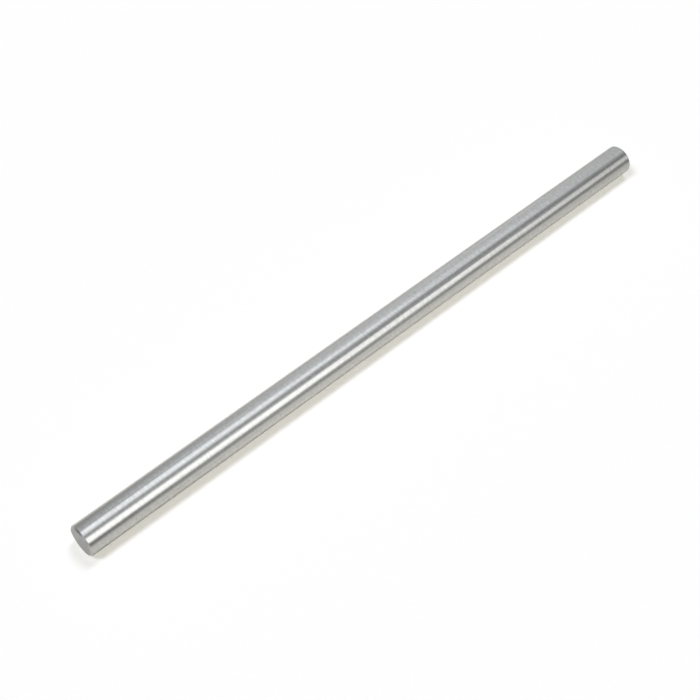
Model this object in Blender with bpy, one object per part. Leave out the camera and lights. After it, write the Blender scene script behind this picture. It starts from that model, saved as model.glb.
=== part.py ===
"""Alloy round rod: one length of ground and polished bar stock, chamfered at both ends.

Units are metres and +Z is up. The rod lies on the floor along X, with its mid-length above the
origin and its lowest line on z = 0. It is turned in one go, as on a lathe: a half section is
drawn from one end face to the other and swept once round the rod's own axis.
"""

import math

import bmesh
import bpy
from mathutils import Vector

# Driving sizes
ROD_DIAMETER = 0.020
ROD_LENGTH = 0.450
CHAMFER_LENGTH = 0.001                  # how far each chamfer runs along the rod
CHAMFER_SLOPE = math.radians(45.0)      # between the chamfer and the rod's axis
CORNER_RADIUS = 0.0002                  # softening that polishing leaves on every turned corner

# Fineness of the solid
SIDES_AROUND = 64
CORNER_STEPS = 3

# Finish of the metal
STEEL_COLOUR = (0.56, 0.565, 0.57, 1.0)
STEEL_ROUGHNESS = 0.2
STEEL_METALLIC = 1.0


def clear_scene():
    """Remove every object of the open scene."""
    for obj in list(bpy.data.objects):
        bpy.data.objects.remove(obj, do_unlink=True)


def ground_steel():
    """Return the material of ground and polished alloy steel."""
    material = bpy.data.materials.new("ground_alloy_steel")
    material.use_nodes = True
    shader = material.node_tree.nodes["Principled BSDF"]
    shader.inputs["Base Color"].default_value = STEEL_COLOUR
    shader.inputs["Roughness"].default_value = STEEL_ROUGHNESS
    shader.inputs["Metallic"].default_value = STEEL_METALLIC
    return material


def softened_corner(before, corner, after):
    """Return the points of an arc of CORNER_RADIUS that replaces one corner of an outline."""
    towards = (corner - before).normalized()
    away = (after - corner).normalized()
    turn = towards.angle(away)
    setback = CORNER_RADIUS * math.tan(turn / 2)
    inward = (away - towards).normalized()
    centre = corner + inward * (CORNER_RADIUS / math.cos(turn / 2))
    start = corner - towards * setback
    points = []
    for step in range(CORNER_STEPS + 1):
        swept = turn * step / CORNER_STEPS
        spoke = (start - centre) * math.cos(swept) + towards * (CORNER_RADIUS * math.sin(swept))
        points.append(centre + spoke)
    return points


def half_section():
    """Return the rod's outline above its axis, as (along, radius), from the -X face to the +X face.

    The first and last points lie on the rims of the flat end faces, which are capped later.
    """
    half_length = ROD_LENGTH / 2
    radius = ROD_DIAMETER / 2
    face_radius = radius - CHAMFER_LENGTH * math.tan(CHAMFER_SLOPE)
    shoulder = half_length - CHAMFER_LENGTH
    corners = [
        Vector((-half_length, 0.0)),
        Vector((-half_length, face_radius)),
        Vector((-shoulder, radius)),
        Vector((shoulder, radius)),
        Vector((half_length, face_radius)),
        Vector((half_length, 0.0)),
    ]
    outline = []
    for before, corner, after in zip(corners, corners[1:], corners[2:]):
        outline.extend(softened_corner(before, corner, after))
    return outline


def turned_mesh(name, outline):
    """Sweep an outline of (along, radius) points round the X axis and cap both ends.

    The swept ring has flat sides. They touch the true round, so that the solid measures the
    full diameter across its flats, and one of them lies at the very bottom.
    """
    half_side = math.pi / SIDES_AROUND
    to_corner = 1.0 / math.cos(half_side)
    bm = bmesh.new()
    rim = []
    for along, radius in outline:
        reach = radius * to_corner
        rim.append(bm.verts.new((along, reach * math.sin(half_side), -reach * math.cos(half_side))))
    lines = [bm.edges.new(pair) for pair in zip(rim, rim[1:])]
    bmesh.ops.spin(
        bm,
        geom=rim + lines,
        axis=(1.0, 0.0, 0.0),
        cent=(0.0, 0.0, 0.0),
        steps=SIDES_AROUND,
        angle=2 * math.pi,
        use_merge=True,
    )
    open_rims = [edge for edge in bm.edges if edge.is_boundary]
    bmesh.ops.holes_fill(bm, edges=open_rims, sides=0)
    bmesh.ops.recalc_face_normals(bm, faces=bm.faces)
    mesh = bpy.data.meshes.new(name)
    bm.to_mesh(mesh)
    bm.free()
    mesh.shade_smooth()
    mesh.set_sharp_from_angle(angle=math.radians(12.0))
    return mesh


def build_rod():
    """Make the rod and lay it on the floor."""
    rod = bpy.data.objects.new("round_rod", turned_mesh("round_rod", half_section()))
    rod.data.materials.append(ground_steel())
    rod.location = (0.0, 0.0, ROD_DIAMETER / 2)
    bpy.context.scene.collection.objects.link(rod)
    return rod


clear_scene()
build_rod()
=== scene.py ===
"""Looks of an alloy round rod: a ground steel bar lying on a white table under a light tent.

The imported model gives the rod's place and size. This script turns a fine rod of that size, with
its facing marks and softened corners, and dresses it as ground steel. The table, the tent and the
camera stand round it and are not part of it.
"""

import logging
import math
from collections.abc import Callable
from dataclasses import dataclass
from enum import Enum

import bmesh
import bpy
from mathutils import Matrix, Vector


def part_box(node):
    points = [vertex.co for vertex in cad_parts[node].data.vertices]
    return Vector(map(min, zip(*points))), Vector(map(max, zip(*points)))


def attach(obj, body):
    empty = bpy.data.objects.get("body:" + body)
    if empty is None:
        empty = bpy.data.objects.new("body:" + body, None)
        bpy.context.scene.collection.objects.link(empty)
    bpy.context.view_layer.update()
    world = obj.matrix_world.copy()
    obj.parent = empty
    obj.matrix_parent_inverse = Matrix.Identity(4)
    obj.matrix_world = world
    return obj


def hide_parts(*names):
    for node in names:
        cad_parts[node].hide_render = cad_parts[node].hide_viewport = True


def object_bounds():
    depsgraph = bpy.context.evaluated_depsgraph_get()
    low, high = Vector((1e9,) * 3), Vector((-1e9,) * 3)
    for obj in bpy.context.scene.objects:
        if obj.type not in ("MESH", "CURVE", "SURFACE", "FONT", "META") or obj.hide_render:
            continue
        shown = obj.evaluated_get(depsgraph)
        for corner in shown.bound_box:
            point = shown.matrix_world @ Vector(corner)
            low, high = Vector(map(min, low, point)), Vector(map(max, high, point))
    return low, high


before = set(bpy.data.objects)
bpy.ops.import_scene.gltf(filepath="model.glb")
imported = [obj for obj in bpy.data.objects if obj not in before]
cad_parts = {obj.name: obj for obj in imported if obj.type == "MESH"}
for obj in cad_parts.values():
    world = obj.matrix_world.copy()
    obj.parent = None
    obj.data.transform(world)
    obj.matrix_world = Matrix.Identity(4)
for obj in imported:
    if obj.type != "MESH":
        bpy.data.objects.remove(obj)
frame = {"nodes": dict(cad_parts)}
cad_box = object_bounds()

LOG = logging.getLogger("round_rod")
MILLIMETRE = 0.001
CHAMFER_SLOPE = math.radians(45.0)      # between the chamfer and the rod's axis

# How rich and how rough the noise is in the grain of the metal, its streaks and its cloudiness.
GRAIN = {"Detail": 3.0, "Roughness": 0.6}
STREAKS = {"Detail": 2.0, "Roughness": 0.5}
CLOUDS = {"Detail": 4.0, "Roughness": 0.55}

Colour = tuple[float, float, float, float]


def linear(hex_colour: str) -> Colour:
    """Turn an sRGB hex colour into the linear colour that a shader socket takes.

    Args:
        hex_colour: Six hex digits after a hash, such as "#c8c8c8".

    Returns:
        Linear red, green and blue, with an alpha of 1.
    """
    channels = [int(hex_colour[start:start + 2], 16) / 255 for start in (1, 3, 5)]
    decoded = [c / 12.92 if c <= 0.04045 else ((c + 0.055) / 1.055) ** 2.4 for c in channels]
    return (decoded[0], decoded[1], decoded[2], 1.0)


def add_node(
    tree: bpy.types.NodeTree,
    kind: str,
    settings: dict[str, object] | None = None,
    links: dict[str | int, object] | None = None,
) -> bpy.types.Node:
    """Add one node with its settings and what feeds it.

    Args:
        tree: The node tree that gets the node.
        kind: Blender's identifier of the node's class.
        settings: Properties of the node, by name.
        links: Input sockets, by name or number, each with an output socket or a constant.

    Returns:
        The new node.
    """
    node = tree.nodes.new(kind)
    for name, value in (settings or {}).items():
        setattr(node, name, value)
    for socket, value in (links or {}).items():
        if isinstance(value, bpy.types.NodeSocket):
            tree.links.new(value, node.inputs[socket])
        else:
            node.inputs[socket].default_value = value
    return node


def new_material(name: str) -> bpy.types.Material:
    """Make a material whose node tree holds nothing yet.

    Args:
        name: The material's name.

    Returns:
        The new material.
    """
    material = bpy.data.materials.new(name)
    material.use_nodes = True
    material.node_tree.nodes.clear()
    return material


def marked_metal(
    material: bpy.types.Material,
    marks: bpy.types.NodeSocket,
    shade: str,
    colour: str,
    depth_mm: float,
    roughness: float | bpy.types.NodeSocket,
) -> None:
    """Finish a material as bare metal whose marks show in its tone and in its relief.

    Args:
        material: The material, which gets its last nodes here.
        marks: How high the surface is in its marks, from 0 at the bottom to 1.
        shade: The metal's sRGB hex colour in the bottom of the marks.
        colour: Its sRGB hex colour between them.
        depth_mm: How deep the marks are.
        roughness: How rough the metal is between them.
    """
    tree = material.node_tree
    tone = add_node(
        tree,
        "ShaderNodeMix",
        {"data_type": "RGBA"},
        {0: marks, 6: linear(shade), 7: linear(colour)},
    )
    relief = add_node(
        tree,
        "ShaderNodeBump",
        links={"Strength": 1.0, "Distance": depth_mm * MILLIMETRE, "Height": marks},
    )
    shader = add_node(
        tree,
        "ShaderNodeBsdfPrincipled",
        links={
            "Base Color": tone.outputs[2],
            "Metallic": 1.0,
            "Roughness": roughness,
            "Normal": relief.outputs[0],
        },
    )
    add_node(tree, "ShaderNodeOutputMaterial", links={"Surface": shader.outputs[0]})


class RodZone(Enum):
    """The surfaces of the rod, in the order of its material slots."""

    GROUND = 0
    CHAMFER = 1
    FACE = 2


@dataclass(frozen=True)
class GroundSteel:
    """Alloy steel, centreless ground and then polished.

    The wheel leaves fine short arcs round the bar, which spread a reflection a little along it.
    Drawing and handling leave faint streaks along it. The eye sees soft, straight bands of the
    room with a fine grain in them.
    """

    colour: str = "#dfdfdd"
    shade: str = "#979795"                          # in the bottom of the marks
    roughness: float = 0.2
    roughness_spread: float = 0.04                  # from the best to the least polished places
    arc_pitch_mm: float = 1.1                       # near 0.02 mm in truth, drawn coarser to show
    arc_run_mm: float = 3.0                         # how far an arc runs round the bar
    mark_depth_mm: float = 0.0012
    streak_width_mm: float = 0.6
    streak_run_mm: float = 1000 / 12
    streak_share: float = 0.45                      # of the marks, and the rest are arcs
    cloud_size_mm: float = 14.0
    cloud_range: tuple[float, float] = (0.3, 0.7)   # of the noise that the roughness follows

    def material(self) -> bpy.types.Material:
        """Make the finish of the ground round.

        Returns:
            The node material.
        """
        material = new_material("ground_steel")
        tree = material.node_tree
        where = add_node(tree, "ShaderNodeTexCoord").outputs["Object"]
        arcs = add_node(
            tree,
            "ShaderNodeMapping",
            links={
                "Vector": where,
                "Scale": (
                    1 / (self.arc_pitch_mm * MILLIMETRE),
                    1 / (self.arc_run_mm * MILLIMETRE),
                    1 / (self.arc_run_mm * MILLIMETRE),
                ),
            },
        )
        arc_noise = add_node(
            tree, "ShaderNodeTexNoise", links={"Vector": arcs.outputs[0], "Scale": 1.0, **GRAIN}
        )
        streaks = add_node(
            tree,
            "ShaderNodeMapping",
            links={
                "Vector": where,
                "Scale": (
                    1 / (self.streak_run_mm * MILLIMETRE),
                    1 / (self.streak_width_mm * MILLIMETRE),
                    1 / (self.streak_width_mm * MILLIMETRE),
                ),
            },
        )
        streak_noise = add_node(
            tree, "ShaderNodeTexNoise", links={"Vector": streaks.outputs[0], "Scale": 1.0, **STREAKS}
        )
        marks = add_node(
            tree,
            "ShaderNodeMix",
            {"data_type": "FLOAT"},
            {0: self.streak_share, 2: arc_noise.outputs["Fac"], 3: streak_noise.outputs["Fac"]},
        )
        clouds = add_node(
            tree,
            "ShaderNodeTexNoise",
            links={"Vector": where, "Scale": 1 / (self.cloud_size_mm * MILLIMETRE), **CLOUDS},
        )
        rough = add_node(
            tree,
            "ShaderNodeMapRange",
            links={
                "Value": clouds.outputs["Fac"],
                "From Min": self.cloud_range[0],
                "From Max": self.cloud_range[1],
                "To Min": self.roughness - self.roughness_spread / 2,
                "To Max": self.roughness + self.roughness_spread / 2,
            },
        )
        marked_metal(
            material,
            marks.outputs[0],
            self.shade,
            self.colour,
            self.mark_depth_mm,
            rough.outputs[0],
        )
        return material


@dataclass(frozen=True)
class TurnedSteel:
    """The same steel as a lathe tool leaves it, on the chamfers and the faced ends.

    Feed marks run in circles round the axis. The eye sees a surface duller than the ground round,
    and darker on the faced ends.
    """

    name: str
    colour: str = "#a5a6a9"
    shade: str = "#8a8b8d"          # in the bottom of the marks
    roughness: float = 0.4
    feed_mm: float = 1.2            # near 0.1 mm in truth, drawn coarser to show
    feed_contrast: float = 0.4      # how strong the circles are beside the grain
    grain_mm: float = 1 / 1.2
    mark_depth_mm: float = 0.003

    def material(self) -> bpy.types.Material:
        """Make the finish of a turned surface.

        Returns:
            The node material.
        """
        material = new_material(self.name)
        tree = material.node_tree
        where = add_node(tree, "ShaderNodeTexCoord").outputs["Object"]
        parts = add_node(tree, "ShaderNodeSeparateXYZ", links={0: where})
        across = add_node(
            tree, "ShaderNodeCombineXYZ", links={1: parts.outputs[1], 2: parts.outputs[2]}
        )
        radius = add_node(
            tree, "ShaderNodeVectorMath", {"operation": "LENGTH"}, {0: across.outputs[0]}
        )
        turns = add_node(
            tree,
            "ShaderNodeMath",
            {"operation": "MULTIPLY"},
            {0: radius.outputs["Value"], 1: 2 * math.pi / (self.feed_mm * MILLIMETRE)},
        )
        wave = add_node(tree, "ShaderNodeMath", {"operation": "SINE"}, {0: turns.outputs[0]})
        grain = add_node(
            tree,
            "ShaderNodeTexNoise",
            links={"Vector": where, "Scale": 1 / (self.grain_mm * MILLIMETRE), **GRAIN},
        )
        marks = add_node(
            tree,
            "ShaderNodeMath",
            {"operation": "MULTIPLY_ADD"},
            {0: wave.outputs[0], 1: self.feed_contrast, 2: grain.outputs["Fac"]},
        )
        marked_metal(
            material,
            marks.outputs[0],
            self.shade,
            self.colour,
            self.mark_depth_mm,
            self.roughness,
        )
        return material


@dataclass(frozen=True)
class MattPaper:
    """White uncoated paper, rolled flat and not glossed.

    Its fibres scatter light evenly, so that the eye sees a plain white ground without a shine.
    """

    colour: str = "#ffffff"
    grain_mm: float = 3.0           # from one clump of fibres to the next
    grain_depth: float = 0.015      # how much darker the paper is in its grain

    def material(self) -> bpy.types.Material:
        """Make the finish of the table top.

        Returns:
            The node material.
        """
        material = new_material("white_table")
        tree = material.node_tree
        where = add_node(tree, "ShaderNodeTexCoord").outputs["Object"]
        grain = add_node(
            tree,
            "ShaderNodeTexNoise",
            links={"Vector": where, "Scale": 1 / (self.grain_mm * MILLIMETRE), "Detail": 2.0},
        )
        paper = add_node(
            tree,
            "ShaderNodeMapRange",
            links={"Value": grain.outputs["Fac"], "To Min": 1 - self.grain_depth, "To Max": 1.0},
        )
        speckled = add_node(
            tree,
            "ShaderNodeVectorMath",
            {"operation": "SCALE"},
            {0: linear(self.colour)[:3], "Scale": paper.outputs[0]},
        )
        matt = add_node(tree, "ShaderNodeBsdfDiffuse", links={"Color": speckled.outputs[0]})
        add_node(tree, "ShaderNodeOutputMaterial", links={"Surface": matt.outputs[0]})
        return material


@dataclass(frozen=True)
class GlowAndShadeSheet:
    """A sheet seen only in the metal, painted with its glow: the tent's lit cloth, and the painted
    shade on the table and at the rod's foot.

    The eye sees soft glow and shade in the metal, and what lies behind the sheet where it is thin.
    """

    name: str
    passes: str = "#ffffff"         # the colour that white takes on where the sheet is thin

    def material(self) -> bpy.types.Material:
        """Make the finish of a sheet that is painted with its glow.

        Returns:
            The node material.
        """
        material = new_material(self.name)
        tree = material.node_tree
        painted = add_node(tree, "ShaderNodeAttribute", {"attribute_name": "glow"})
        cloth = add_node(tree, "ShaderNodeEmission", links={"Color": painted.outputs["Color"]})
        clear = add_node(tree, "ShaderNodeBsdfTransparent", links={"Color": linear(self.passes)})
        mixed = add_node(
            tree,
            "ShaderNodeMixShader",
            links={0: painted.outputs["Alpha"], 1: clear.outputs[0], 2: cloth.outputs[0]},
        )
        add_node(tree, "ShaderNodeOutputMaterial", links={"Surface": mixed.outputs[0]})
        # The cloth shows in the metal and lights nothing else, so no light is sampled from it.
        material.cycles.emission_sampling = "NONE"
        return material


@dataclass
class RoundRod:
    """The rod: one ground bar with turned chamfers and faced ends."""

    node: str = "round_rod"
    chamfer: float = 1.0 * MILLIMETRE
    chamfer_rings: tuple[float, float] = (0.15, 0.85)   # where on the chamfer rings lie, as shares
    corner_radius: float = 0.2 * MILLIMETRE
    corner_steps: int = 5
    sides: int = 288
    body_step: float = 4.5 * MILLIMETRE                 # between rings on the ground round
    face_dish: float = 0.03 * MILLIMETRE                # how hollow a faced end is at its centre
    face_feed: float = 0.5 * MILLIMETRE                 # near 0.1 mm in truth, cut coarser
    face_groove: float = 0.006 * MILLIMETRE             # how deep a groove is
    groove_steps: int = 4                               # points of the section for each groove

    def __post_init__(self) -> None:
        """Take the rod's length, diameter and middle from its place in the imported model."""
        low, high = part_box(self.node)
        self.length = high.x - low.x
        self.diameter = high.z - low.z
        self.middle = (low + high) / 2
        self.setback = self.corner_radius * math.tan(CHAMFER_SLOPE / 2)

    def softened(self, before: Vector, corner: Vector, after: Vector) -> list[Vector]:
        """Work out the arc that replaces one corner of the half section.

        Args:
            before: The point before the corner, as (along, radius).
            corner: The sharp corner.
            after: The point after it.

        Returns:
            The arc's points, from the first line to the second.
        """
        towards = (corner - before).normalized()
        away = (after - corner).normalized()
        turn = towards.angle(away)
        centre = corner + (away - towards).normalized() * (self.corner_radius / math.cos(turn / 2))
        start = corner - towards * (self.corner_radius * math.tan(turn / 2))
        arc = []
        for step in range(self.corner_steps + 1):
            swept = turn * step / self.corner_steps
            spoke = (start - centre) * math.cos(swept)
            arc.append(centre + spoke + towards * (self.corner_radius * math.sin(swept)))
        return arc

    def face_rings(self, rim_radius: float) -> list[Vector]:
        """Work out the faced end's section from its centre to its rim, as (depth, radius).

        The tool leaves the face a hair hollow, with a fine groove for each turn of its feed.

        Args:
            rim_radius: The radius at which the flat face meets its softened corner.

        Returns:
            Points with their depth below the end plane, all zero or more.
        """
        grooves = max(1, round(rim_radius / self.face_feed))
        count = grooves * self.groove_steps
        rings = []
        for step in range(1, count):
            radius = rim_radius * step / count
            hollow = self.face_dish * (1 - (radius / rim_radius) ** 2)
            wave = 0.5 - 0.5 * math.cos(2 * math.pi * step / self.groove_steps)
            rings.append(Vector((hollow + self.face_groove * wave, radius)))
        return rings

    def section(self) -> list[Vector]:
        """Work out the rod's section.

        Returns:
            Points as (along, radius), from beside one face's centre to beside the other's.
        """
        end = self.length / 2
        radius = self.diameter / 2
        rim = Vector((end, radius - self.chamfer))
        shoulder = Vector((end - self.chamfer, radius))
        rim_arc = self.softened(Vector((end, 0.0)), rim, shoulder)
        shoulder_arc = self.softened(rim, shoulder, Vector((0.0, radius)))
        half = [Vector((end - ring.x, ring.y)) for ring in self.face_rings(rim_arc[0].y)]
        half += rim_arc
        half += [rim_arc[-1].lerp(shoulder_arc[0], share) for share in self.chamfer_rings]
        half += shoulder_arc
        last = shoulder_arc[-1].x - self.corner_radius
        steps = round(last / self.body_step)
        half += [Vector((last * (1 - step / steps), radius)) for step in range(steps)]
        left = [Vector((-point.x, point.y)) for point in reversed(half)]
        return half + [Vector((0.0, radius))] + left

    def zone(self, here: Vector, there: Vector) -> RodZone:
        """Tell which surface the band between two points of the section belongs to.

        Args:
            here: One point of the section, as (along, radius).
            there: The next point.

        Returns:
            The surface's zone.
        """
        middle = (here + there) / 2
        if middle.y < self.diameter / 2 - self.chamfer - self.setback:
            return RodZone.FACE
        if abs(middle.x) > self.length / 2 - self.chamfer - self.setback:
            return RodZone.CHAMFER
        return RodZone.GROUND

    def mesh(self) -> bpy.types.Mesh:
        """Turn the section round the rod's axis and close both centres.

        Returns:
            The rod's mesh, round the X axis.
        """
        bm = bmesh.new()
        section = self.section()
        spokes = [
            (math.cos(angle), math.sin(angle))
            for angle in (2 * math.pi * side / self.sides for side in range(self.sides))
        ]
        rings = [
            [bm.verts.new((point.x, point.y * c, point.y * s)) for c, s in spokes]
            for point in section
        ]
        for index in range(len(rings) - 1):
            here, there = rings[index:index + 2]
            zone = self.zone(*section[index:index + 2])
            for side in range(self.sides):
                turn = (side + 1) % self.sides
                face = bm.faces.new((here[side], here[turn], there[turn], there[side]))
                face.material_index = zone.value
        for ring, point in ((rings[0], section[0]), (rings[-1], section[-1])):
            hub = bm.verts.new((point.x, 0.0, 0.0))
            for side in range(self.sides):
                face = bm.faces.new((ring[side], ring[(side + 1) % self.sides], hub))
                face.material_index = RodZone.FACE.value
        bmesh.ops.recalc_face_normals(bm, faces=bm.faces)
        mesh = bpy.data.meshes.new("ground_rod")
        bm.to_mesh(mesh)
        bm.free()
        mesh.shade_smooth()
        return mesh

    def dress(self, rod: bpy.types.Object) -> None:
        """Give each zone of the rod its finish.

        Args:
            rod: The rod, with no material yet.
        """
        chamfer = TurnedSteel("turned_chamfer", colour="#c1c2c4", shade="#afb0b2", roughness=0.34)
        finishes = {
            RodZone.GROUND: GroundSteel(),
            RodZone.CHAMFER: chamfer,
            RodZone.FACE: TurnedSteel("faced_end"),
        }
        for zone in RodZone:
            rod.data.materials.append(finishes[zone].material())

    def build(self) -> bpy.types.Object:
        """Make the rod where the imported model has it.

        Returns:
            The dressed rod.
        """
        rod = bpy.data.objects.new("ground_rod", self.mesh())
        rod.location = self.middle
        bpy.context.scene.collection.objects.link(rod)
        self.dress(rod)
        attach(rod, "root")
        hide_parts(self.node)
        return rod


def painted_sheet(
    cloth: GlowAndShadeSheet, rows: list[list[Vector]], paint: Callable[[Vector], Colour]
) -> bpy.types.Object:
    """Make a sheet that only shows in the metal, glowing as the tent does, or painted with shade.

    Args:
        cloth: The sheet's cloth, which also names it.
        rows: Points of the sheet, row by row, with as many in each row.
        paint: Gives the glow or painted shade at a point as linear red, green and blue, and how
            dense the sheet is.

    Returns:
        The sheet, out of sight of the camera and of the light that falls on the table.
    """
    mesh = bpy.data.meshes.new(cloth.name)
    width = len(rows[0])
    corners = [
        (row * width + column, row * width + column + 1)
        for row in range(len(rows) - 1)
        for column in range(width - 1)
    ]
    faces = [(first, second, second + width, first + width) for first, second in corners]
    mesh.from_pydata([point for row in rows for point in row], [], faces)
    glow = mesh.color_attributes.new("glow", "FLOAT_COLOR", "POINT")
    for vertex, spot in zip(mesh.vertices, glow.data):
        spot.color = paint(vertex.co)
    mesh.materials.append(cloth.material())
    sheet = bpy.data.objects.new(cloth.name, mesh)
    bpy.context.scene.collection.objects.link(sheet)
    sheet.visible_camera = False
    sheet.visible_diffuse = False
    sheet.visible_shadow = False
    return sheet


def soft_step(share: float) -> float:
    """Return a smooth rise from 0 to 1 as a share goes from 0 to 1."""
    held = min(1.0, max(0.0, share))
    return held * held * (3 - 2 * held)


@dataclass(frozen=True)
class TentPanel:
    """A lit stretch of the tent's cloth that runs along the rod.

    Angles are in degrees round the rod, from 0 at the camera's side of the table over the top to
    180 at the far side. Where panels overlap, their light adds up. A black flag is a panel with a
    radiance below zero, which takes light away.
    """

    name: str
    low: float              # where its lower edge runs, in degrees, at the rod's middle
    high: float
    low_feather: float      # degrees over which that edge fades out, half of them on each side
    high_feather: float
    radiance: float
    centre: float           # place along the rod where it is brightest, in metres
    reach: float            # distance along the rod at which it has faded to half, in metres
    low_slant: float = 0.0  # degrees by which the lower edge climbs for each metre along the rod
    high_slant: float = 0.0
    low_bow: float = 0.0    # degrees by which that edge bends up for each square metre
    high_bow: float = 0.0
    tint: str = "#ffffff"

    def light(self, angle: float, along: float) -> float:
        """Work out how brightly the panel glows at one place on the cloth.

        Args:
            angle: Degrees round the rod.
            along: Metres along the rod.

        Returns:
            The panel's radiance there.
        """
        low = self.low + self.low_slant * along + self.low_bow * along**2
        high = self.high + self.high_slant * along + self.high_bow * along**2
        rises = soft_step((angle - low) / self.low_feather + 0.5)
        falls = soft_step((high - angle) / self.high_feather + 0.5)
        return self.radiance * rises * falls * 0.5 ** (((along - self.centre) / self.reach) ** 2)


TENT_PANELS = (
    TentPanel(
        "low_strip",
        low=-5.0,
        high=15.0,
        low_feather=10.0,
        high_feather=10.0,
        radiance=0.22,
        centre=1.0,
        reach=0.7,
    ),
    TentPanel(
        "side_box",
        low=24.2,
        high=58.7,
        low_feather=18.0,
        high_feather=12.0,
        radiance=1.78,
        centre=0.55,
        reach=1.28,
        low_slant=-10.3,
        high_slant=-12.4,
        low_bow=4.0,
        high_bow=4.0,
        tint="#fefffd",
    ),
    TentPanel(
        "near_cloth",
        low=50.0,
        high=85.0,
        low_feather=10.0,
        high_feather=20.0,
        radiance=0.3,
        centre=0.3,
        reach=1.3,
        tint="#f7fbff",
    ),
    TentPanel(
        "top_box",
        low=82.0,
        high=108.5,
        low_feather=25.0,
        high_feather=20.0,
        radiance=1.71,
        centre=0.0,
        reach=1.56,
        low_slant=6.0,
        low_bow=-2.9,
        tint="#f6faff",
    ),
    TentPanel(
        "top_spill",
        low=105.0,
        high=145.0,
        low_feather=20.0,
        high_feather=40.0,
        radiance=0.25,
        centre=0.0,
        reach=1.0,
        tint="#f5faff",
    ),
    TentPanel(
        "far_cloth",
        low=108.0,
        high=200.0,
        low_feather=20.0,
        high_feather=10.0,
        radiance=0.63,
        centre=1.5,
        reach=1.1,
        tint="#f7fbff",
    ),
    TentPanel(
        "back_strip",
        low=172.0,
        high=200.0,
        low_feather=20.0,
        high_feather=10.0,
        radiance=0.14,
        centre=1.3,
        reach=0.75,
    ),
    TentPanel(
        "end_flag",
        low=-5.0,
        high=200.0,
        low_feather=10.0,
        high_feather=10.0,
        radiance=-0.09,
        centre=0.1,
        reach=0.16,
    ),
)


@dataclass
class LightTent:
    """A half-round arch of white cloth over the table, lit from outside in long soft panels."""

    radius: float = 2.25
    half_length: float = 6.0
    bare_glow: float = 0.25         # of the cloth where no panel lights it
    angle_step: float = 1.5         # degrees from one row of points to the next
    length_steps: int = 60
    panels: tuple[TentPanel, ...] = TENT_PANELS

    def glow(self, point: Vector) -> Colour:
        """Add up the light of the cloth at one point.

        Args:
            point: A point of the cloth.

        Returns:
            The glow as linear red, green and blue, and 1 for cloth without gaps.
        """
        angle = math.degrees(math.atan2(point.z, -point.y))
        total = Vector((self.bare_glow, self.bare_glow, self.bare_glow))
        for panel in self.panels:
            total += Vector(linear(panel.tint)[:3]) * panel.light(angle, point.x)
        return (*total, 1.0)

    def build(self) -> bpy.types.Object:
        """Stand the tent over the table.

        Returns:
            The tent's cloth.
        """
        steps = round(180 / self.angle_step)
        places = [
            self.half_length * (2 * step / self.length_steps - 1)
            for step in range(self.length_steps + 1)
        ]
        rows = []
        for step in range(steps + 1):
            angle = math.pi * step / steps
            across = -self.radius * math.cos(angle)
            height = self.radius * math.sin(angle)
            rows.append([Vector((along, across, height)) for along in places])
        return painted_sheet(GlowAndShadeSheet("light_tent"), rows, self.glow)


@dataclass
class PaintedTableShade:
    """Painted shade: a grey sheet over the table, denser away from the rod.

    Only the metal sees it. It tones down what the metal mirrors of the white table, as a painted
    shade where the light on the table falls off away from the rod.
    """

    half_size: float = 8.0
    height: float = 0.3 * MILLIMETRE
    # the colour of the painted shade
    grey: str = "#a7a6a3"
    passes: str = "#fffdf8"         # painted warm tint on the white table that shows through
    thinnest: tuple[float, float] = (-60.0 * MILLIMETRE, 10.0 * MILLIMETRE)
    fade_along: float = 500.0 * MILLIMETRE      # from there to where it is half dense
    fade_across: float = 112.0 * MILLIMETRE
    first_row: float = 10.0 * MILLIMETRE
    first_column: float = 60.0 * MILLIMETRE
    growth: float = 1.25            # between one row or column and the next

    def paint(self, point: Vector) -> Colour:
        """Work out the painted shade's grey and how dense it is at one point.

        Args:
            point: A point of the painted shade sheet.

        Returns:
            Linear red, green and blue, and how much of the table the painted shade covers.
        """
        along = (point.x - self.thinnest[0]) / self.fade_along
        across = (point.y - self.thinnest[1]) / self.fade_across
        return (*linear(self.grey)[:3], 1 - 1 / (1 + along**2 + across**2))

    def places(self, first: float) -> list[float]:
        """Work out places on both sides of the rod's middle, ever wider apart.

        Args:
            first: How far the nearest ones are from the middle.

        Returns:
            The places in order, from the negative side to the positive.
        """
        distances = [first]
        while distances[-1] < self.half_size:
            distances.append(distances[-1] * self.growth)
        return [-distance for distance in reversed(distances)] + distances

    def build(self) -> bpy.types.Object:
        """Lay the painted shade sheet over the table.

        Returns:
            The painted shade sheet.
        """
        columns = self.places(self.first_column)
        rows = [
            [Vector((along, across, self.height)) for along in columns]
            for across in self.places(self.first_row)
        ]
        return painted_sheet(GlowAndShadeSheet("painted_table_shade", self.passes), rows, self.paint)


@dataclass
class PaintedFootShadow:
    """Painted shadow: a narrow black sheet under the rod, seen only in the metal, which draws the
    dark line of the contact shadow at its foot.
    """

    height: float = 0.4 * MILLIMETRE
    half_width: float = 30.0 * MILLIMETRE
    reach: float = 11.5 * MILLIMETRE    # distance from the rod's lowest line at half its density
    # the painted shadow is darker under the left half of the rod than under the right
    left_density: float = 0.46
    right_density: float = 0.27
    edge_power: int = 4                 # the higher it is, the sharper the strip's edges are
    rows: int = 30

    def paint(self, point: Vector) -> Colour:
        """Return black, and how dense the painted shadow is at one point."""
        density = self.left_density if point.x < 0 else self.right_density
        return (0.0, 0.0, 0.0, density / (1 + (point.y / self.reach) ** self.edge_power))

    def build(self) -> bpy.types.Object:
        """Lay the painted shadow under the rod, from end to end.

        Returns:
            The painted shadow.
        """
        low, high = cad_box
        rows = []
        for row in range(self.rows + 1):
            across = self.half_width * (2 * row / self.rows - 1)
            rows.append([Vector((along, across, self.height)) for along in (low.x, high.x)])
        return painted_sheet(GlowAndShadeSheet("painted_foot_shadow"), rows, self.paint)


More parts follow.
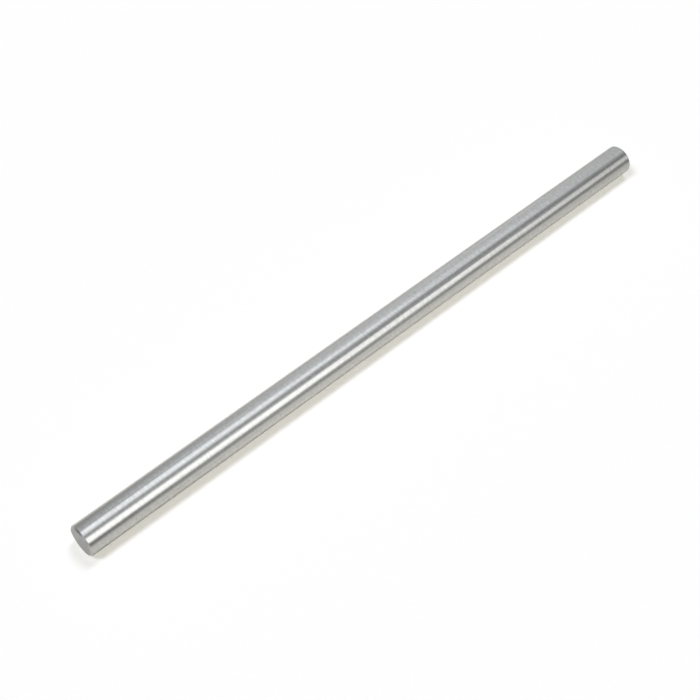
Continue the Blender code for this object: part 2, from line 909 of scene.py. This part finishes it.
@dataclass(frozen=True)
class TableLamp:
    """A soft distant lamp for the table, which doesn't show in the metal."""

    name: str
    angle: float            # degrees round the rod, counted as on the tent
    tilt: float             # degrees by which it leans along the rod, towards -X
    width: float            # how many degrees of the sky it fills
    share: float            # how bright it alone makes a pure white table
    tint: str
    casts_shadow: bool

    def build(self) -> bpy.types.Object:
        """Hang the lamp over the table.

        Returns:
            The lamp.
        """
        turn = math.radians(self.angle)
        lean = math.radians(self.tilt)
        toward = Vector(
            (-math.sin(lean), -math.cos(turn) * math.cos(lean), math.sin(turn) * math.cos(lean))
        )
        data = bpy.data.lights.new(self.name, "SUN")
        data.energy = self.share * math.pi / toward.z
        data.angle = math.radians(self.width)
        data.color = linear(self.tint)[:3]
        data.use_shadow = self.casts_shadow
        lamp = bpy.data.objects.new(self.name, data)
        lamp.rotation_euler = toward.to_track_quat("Z", "Y").to_euler()
        lamp.visible_glossy = False
        bpy.context.scene.collection.objects.link(lamp)
        return lamp


# Together they just light the table to white. The warm lamp fills the rod's shadow.
TABLE_LAMPS = (
    TableLamp(
        "fill_lamp",
        angle=60.0,
        tilt=0.0,
        width=40.0,
        share=0.515,
        tint="#fffcf0",
        casts_shadow=False,
    ),
    TableLamp(
        "key_lamp",
        angle=98.0,
        tilt=-20.0,
        width=20.0,
        share=0.2407,
        tint="#f1f4ff",
        casts_shadow=True,
    ),
    TableLamp(
        "side_key_lamp",
        angle=98.0,
        tilt=27.0,
        width=20.0,
        share=0.3107,
        tint="#f1f4ff",
        casts_shadow=True,
    ),
)


@dataclass
class Table:
    """The white table top that the rod lies on."""

    half_size: float = 8.0
    paper: MattPaper = MattPaper()

    def build(self) -> bpy.types.Object:
        """Lay the table top at the rod's lowest line.

        Returns:
            The table top.
        """
        mesh = bpy.data.meshes.new("table_top")
        reach = self.half_size
        corners = [
            (-reach, -reach, 0.0),
            (reach, -reach, 0.0),
            (reach, reach, 0.0),
            (-reach, reach, 0.0),
        ]
        mesh.from_pydata(corners, [], [(0, 1, 2, 3)])
        mesh.materials.append(self.paper.material())
        table = bpy.data.objects.new("table_top", mesh)
        bpy.context.scene.collection.objects.link(table)
        return table


@dataclass
class Camera:
    """The camera's place, worked out from the photograph's outline of the rod."""

    azimuth: float = -42.5754       # degrees round the point it aims at, from straight in front
    elevation: float = 50.7382      # degrees above the table
    distance: float = 0.79795       # metres from that point
    aim: tuple[float, float, float] = (-0.02648, 0.00020, 0.0100)
    lens_mm: float = 67.63
    sensor_mm: float = 36.0

    def build(self) -> bpy.types.Object:
        """Make the scene's camera and aim it at the rod, level with the horizon.

        Returns:
            The camera.
        """
        data = bpy.data.cameras.new("camera")
        data.lens = self.lens_mm
        data.sensor_width = self.sensor_mm
        camera = bpy.data.objects.new("camera", data)
        turn = math.radians(self.azimuth)
        rise = math.radians(self.elevation)
        back = Vector(
            (math.sin(turn) * math.cos(rise), -math.cos(turn) * math.cos(rise), math.sin(rise))
        )
        camera.location = Vector(self.aim) + back * self.distance
        camera.rotation_euler = (-back).to_track_quat("-Z", "Y").to_euler()
        bpy.context.scene.collection.objects.link(camera)
        bpy.context.scene.camera = camera
        return camera


def white_surround() -> None:
    """Make the world plain white beyond the table, for the camera and in reflections."""
    world = bpy.data.worlds.new("white_surround")
    world.use_nodes = True
    tree = world.node_tree
    tree.nodes.clear()
    path = add_node(tree, "ShaderNodeLightPath")
    seen: float | bpy.types.NodeSocket = 0.0
    for ray in ("Is Camera Ray", "Is Glossy Ray", "Is Transmission Ray"):
        seen = add_node(
            tree, "ShaderNodeMath", {"operation": "MAXIMUM"}, {0: seen, 1: path.outputs[ray]}
        ).outputs[0]
    plain = add_node(
        tree, "ShaderNodeBackground", links={"Color": linear("#ffffff"), "Strength": seen}
    )
    add_node(tree, "ShaderNodeOutputWorld", links={"Surface": plain.outputs[0]})
    bpy.context.scene.world = world


def main() -> None:
    """Build the rod, the stage round it and the camera, in that order."""
    logging.basicConfig(level=logging.INFO, format="%(name)s: %(message)s")
    LOG.info("packed nodes: %s", ", ".join(frame["nodes"]))
    bpy.context.scene.view_settings.view_transform = "Standard"
    rod = RoundRod().build()
    LOG.info("%s: %d faces", rod.name, len(rod.data.polygons))
    for part in (Table(), LightTent(), PaintedTableShade(), PaintedFootShadow(), *TABLE_LAMPS):
        LOG.info("%s stands round the rod", part.build().name)
    white_surround()
    camera = Camera().build()
    LOG.info("%s: %.1f mm lens", camera.name, camera.data.lens)


if __name__ == "__main__":
    main()
